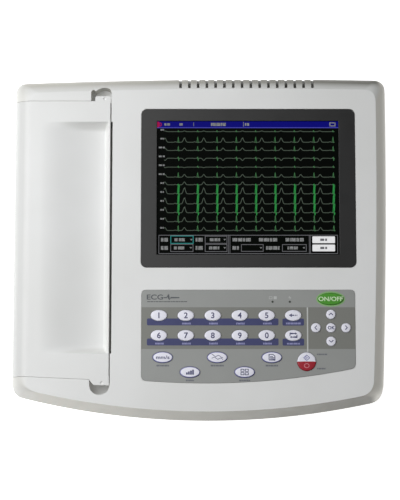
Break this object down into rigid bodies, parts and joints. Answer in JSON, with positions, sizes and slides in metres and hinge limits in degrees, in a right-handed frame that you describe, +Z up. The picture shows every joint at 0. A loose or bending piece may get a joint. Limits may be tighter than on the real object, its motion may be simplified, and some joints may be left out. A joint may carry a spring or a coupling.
{
  "type": "ecg machine",
  "caption": "Bench-top ECG recorder: wedge-shaped case with a colour display, a keypad and a thermal strip printer under a side-hinged paper cover.",
  "frame": {"origin": "centre of the footprint at the undersides of the four rubber feet", "axes": "+X to the operator's right, +Y to the rear, +Z up; the deck slopes 4 degrees down to the front (-Y)"},
  "size_m": [0.35, 0.324, 0.0894],
  "materials": {
    "shell_white": "fine satin texture, cool white",
    "lower_grey": "fine texture, warm grey",
    "bezel_grey": "satin dark grey",
    "lcd_screen": "lit display behind an anti-glare film",
    "overlay_grey": "printed polyester overlay, satin",
    "key_white": "satin silicone keys, printed legends",
    "key_green": "satin silicone key",
    "key_red_white": "two-colour key, white over red",
    "board_green": "solder-masked circuit board",
    "zinc_steel": "zinc-plated sheet",
    "battery_blue": "shrink sleeve",
    "foot_rubber": "matt rubber",
    "shaft_steel": "ground steel",
    "platen_rubber": "ground rubber",
    "gear_white": "acetal",
    "brass": "turned brass",
    "ceramic_white": "glazed thermal print line on a ceramic strip",
    "paper_white": "thermal paper",
    "tray_grey": "moulded inner plastic",
    "black_plastic": "satin black fittings"
  },
  "bodies": {
    "body": {"top_case": "shell_white", "bottom_case": "lower_grey", "battery_hatch": "lower_grey", "display_bezel": "bezel_grey", "lcd_panel": "lcd_screen", "keypad_overlay": "overlay_grey", "keypad_board": "board_green", "main_board": "board_green", "power_supply": "zinc_steel", "battery_pack": "battery_blue", "printer_frame": "zinc_steel", "head_bracket": "zinc_steel", "stepper_motor": "zinc_steel", "print_head": "ceramic_white", "paper_tray": "tray_grey", "mains_inlet": "black_plastic", "earth_terminal": "brass", "patient_connector": "black_plastic", "data_port": "shaft_steel", "foot_front_left": "foot_rubber", "foot_front_right": "foot_rubber", "foot_rear_left": "foot_rubber", "foot_rear_right": "foot_rubber"},
    "cover": {"paper_cover": "shell_white", "cover_hinge_pin_rear": "shaft_steel", "cover_hinge_pin_front": "shaft_steel", "platen_bush_rear": "gear_white", "platen_bush_front": "gear_white"},
    "platen": {"platen_roller": "platen_rubber", "platen_shaft": "shaft_steel", "platen_gear": "gear_white"},
    "idler": {"idler_gear": "gear_white"},
    "pinion": {"motor_pinion": "brass"},
    "roll": {"paper_roll": "paper_white", "paper_spindle": "tray_grey"},
    "rocker": {"mains_switch": "black_plastic"},
    "key_number_1": {"key_number_1": "key_white"},
    "key_number_2": {"key_number_2": "key_white"},
    "key_number_3": {"key_number_3": "key_white"},
    "key_number_4": {"key_number_4": "key_white"},
    "key_number_5": {"key_number_5": "key_white"},
    "key_number_6": {"key_number_6": "key_white"},
    "key_number_7": {"key_number_7": "key_white"},
    "key_number_8": {"key_number_8": "key_white"},
    "key_number_9": {"key_number_9": "key_white"},
    "key_number_0": {"key_number_0": "key_white"},
    "key_backspace": {"key_backspace": "key_white"},
    "key_shift": {"key_shift": "key_white"},
    "key_speed": {"key_speed": "key_white"},
    "key_gain": {"key_gain": "key_white"},
    "key_filter": {"key_filter": "key_white"},
    "key_layout": {"key_layout": "key_white"},
    "key_report": {"key_report": "key_white"},
    "key_up": {"key_up": "key_white"},
    "key_down": {"key_down": "key_white"},
    "key_left": {"key_left": "key_white"},
    "key_right": {"key_right": "key_white"},
    "key_confirm": {"key_confirm": "key_white"},
    "key_power": {"key_power": "key_green"},
    "key_start_stop": {"key_start_stop": "key_red_white"}
  },
  "joints": [
    {"name": "cover_hinge", "type": "hinge", "parent": "body", "child": "cover", "pos_m": [-0.1718, 0.0013, 0.06035], "axis": [0, -0.9976, -0.0698], "range_deg": [0, 100]},
    {"name": "platen_spin", "type": "hinge", "parent": "cover", "child": "platen", "pos_m": [-0.0915, 0.00129, 0.06055], "axis": [0, 0.9976, 0.0698], "continuous": true},
    {"name": "idler_spin", "type": "hinge", "parent": "body", "child": "idler", "pos_m": [-0.08852, 0.00247, 0.0437], "axis": [0, 0.9976, 0.0698], "continuous": true},
    {"name": "pinion_spin", "type": "hinge", "parent": "body", "child": "pinion", "pos_m": [-0.07262, 0.00266, 0.0409], "axis": [0, 0.9976, 0.0698], "continuous": true},
    {"name": "roll_spin", "type": "hinge", "parent": "body", "child": "roll", "pos_m": [-0.128, 0.00223, 0.04708], "axis": [0, 0.9976, 0.0698], "continuous": true},
    {"name": "rocker_tilt", "type": "hinge", "parent": "body", "child": "rocker", "pos_m": [0.096, 0.1545, 0.037], "axis": [-1, 0, 0], "range_deg": [0, 14]},
    {"name": "press_number_1", "type": "slide", "parent": "body", "child": "key_number_1", "axis": [0, 0.0698, -0.9976], "range_m": [0, 0.0008], "stiffness_N_per_m": 500, "springref_m": -0.0006},
    {"name": "press_number_2", "type": "slide", "parent": "body", "child": "key_number_2", "axis": [0, 0.0698, -0.9976], "range_m": [0, 0.0008], "stiffness_N_per_m": 500, "springref_m": -0.0006},
    {"name": "press_number_3", "type": "slide", "parent": "body", "child": "key_number_3", "axis": [0, 0.0698, -0.9976], "range_m": [0, 0.0008], "stiffness_N_per_m": 500, "springref_m": -0.0006},
    {"name": "press_number_4", "type": "slide", "parent": "body", "child": "key_number_4", "axis": [0, 0.0698, -0.9976], "range_m": [0, 0.0008], "stiffness_N_per_m": 500, "springref_m": -0.0006},
    {"name": "press_number_5", "type": "slide", "parent": "body", "child": "key_number_5", "axis": [0, 0.0698, -0.9976], "range_m": [0, 0.0008], "stiffness_N_per_m": 500, "springref_m": -0.0006},
    {"name": "press_number_6", "type": "slide", "parent": "body", "child": "key_number_6", "axis": [0, 0.0698, -0.9976], "range_m": [0, 0.0008], "stiffness_N_per_m": 500, "springref_m": -0.0006},
    {"name": "press_number_7", "type": "slide", "parent": "body", "child": "key_number_7", "axis": [0, 0.0698, -0.9976], "range_m": [0, 0.0008], "stiffness_N_per_m": 500, "springref_m": -0.0006},
    {"name": "press_number_8", "type": "slide", "parent": "body", "child": "key_number_8", "axis": [0, 0.0698, -0.9976], "range_m": [0, 0.0008], "stiffness_N_per_m": 500, "springref_m": -0.0006},
    {"name": "press_number_9", "type": "slide", "parent": "body", "child": "key_number_9", "axis": [0, 0.0698, -0.9976], "range_m": [0, 0.0008], "stiffness_N_per_m": 500, "springref_m": -0.0006},
    {"name": "press_number_0", "type": "slide", "parent": "body", "child": "key_number_0", "axis": [0, 0.0698, -0.9976], "range_m": [0, 0.0008], "stiffness_N_per_m": 500, "springref_m": -0.0006},
    {"name": "press_backspace", "type": "slide", "parent": "body", "child": "key_backspace", "axis": [0, 0.0698, -0.9976], "range_m": [0, 0.0008], "stiffness_N_per_m": 500, "springref_m": -0.0006},
    {"name": "press_shift", "type": "slide", "parent": "body", "child": "key_shift", "axis": [0, 0.0698, -0.9976], "range_m": [0, 0.0008], "stiffness_N_per_m": 500, "springref_m": -0.0006},
    {"name": "press_speed", "type": "slide", "parent": "body", "child": "key_speed", "axis": [0, 0.0698, -0.9976], "range_m": [0, 0.0008], "stiffness_N_per_m": 500, "springref_m": -0.0006},
    {"name": "press_gain", "type": "slide", "parent": "body", "child": "key_gain", "axis": [0, 0.0698, -0.9976], "range_m": [0, 0.0008], "stiffness_N_per_m": 500, "springref_m": -0.0006},
    {"name": "press_filter", "type": "slide", "parent": "body", "child": "key_filter", "axis": [0, 0.0698, -0.9976], "range_m": [0, 0.0008], "stiffness_N_per_m": 500, "springref_m": -0.0006},
    {"name": "press_layout", "type": "slide", "parent": "body", "child": "key_layout", "axis": [0, 0.0698, -0.9976], "range_m": [0, 0.0008], "stiffness_N_per_m": 500, "springref_m": -0.0006},
    {"name": "press_report", "type": "slide", "parent": "body", "child": "key_report", "axis": [0, 0.0698, -0.9976], "range_m": [0, 0.0008], "stiffness_N_per_m": 500, "springref_m": -0.0006},
    {"name": "press_up", "type": "slide", "parent": "body", "child": "key_up", "axis": [0, 0.0698, -0.9976], "range_m": [0, 0.0008], "stiffness_N_per_m": 500, "springref_m": -0.0006},
    {"name": "press_down", "type": "slide", "parent": "body", "child": "key_down", "axis": [0, 0.0698, -0.9976], "range_m": [0, 0.0008], "stiffness_N_per_m": 500, "springref_m": -0.0006},
    {"name": "press_left", "type": "slide", "parent": "body", "child": "key_left", "axis": [0, 0.0698, -0.9976], "range_m": [0, 0.0008], "stiffness_N_per_m": 500, "springref_m": -0.0006},
    {"name": "press_right", "type": "slide", "parent": "body", "child": "key_right", "axis": [0, 0.0698, -0.9976], "range_m": [0, 0.0008], "stiffness_N_per_m": 500, "springref_m": -0.0006},
    {"name": "press_confirm", "type": "slide", "parent": "body", "child": "key_confirm", "axis": [0, 0.0698, -0.9976], "range_m": [0, 0.0008], "stiffness_N_per_m": 500, "springref_m": -0.0006},
    {"name": "press_power", "type": "slide", "parent": "body", "child": "key_power", "axis": [0, 0.0698, -0.9976], "range_m": [0, 0.0008], "stiffness_N_per_m": 500, "springref_m": -0.0006},
    {"name": "press_start_stop", "type": "slide", "parent": "body", "child": "key_start_stop", "axis": [0, 0.0698, -0.9976], "range_m": [0, 0.0008], "stiffness_N_per_m": 500, "springref_m": -0.0006}
  ],
  "couplings": [
    {"joint": "idler_spin", "follows": "platen_spin", "ratio": -0.7},
    {"joint": "pinion_spin", "follows": "platen_spin", "ratio": 1.1667}
  ]
}
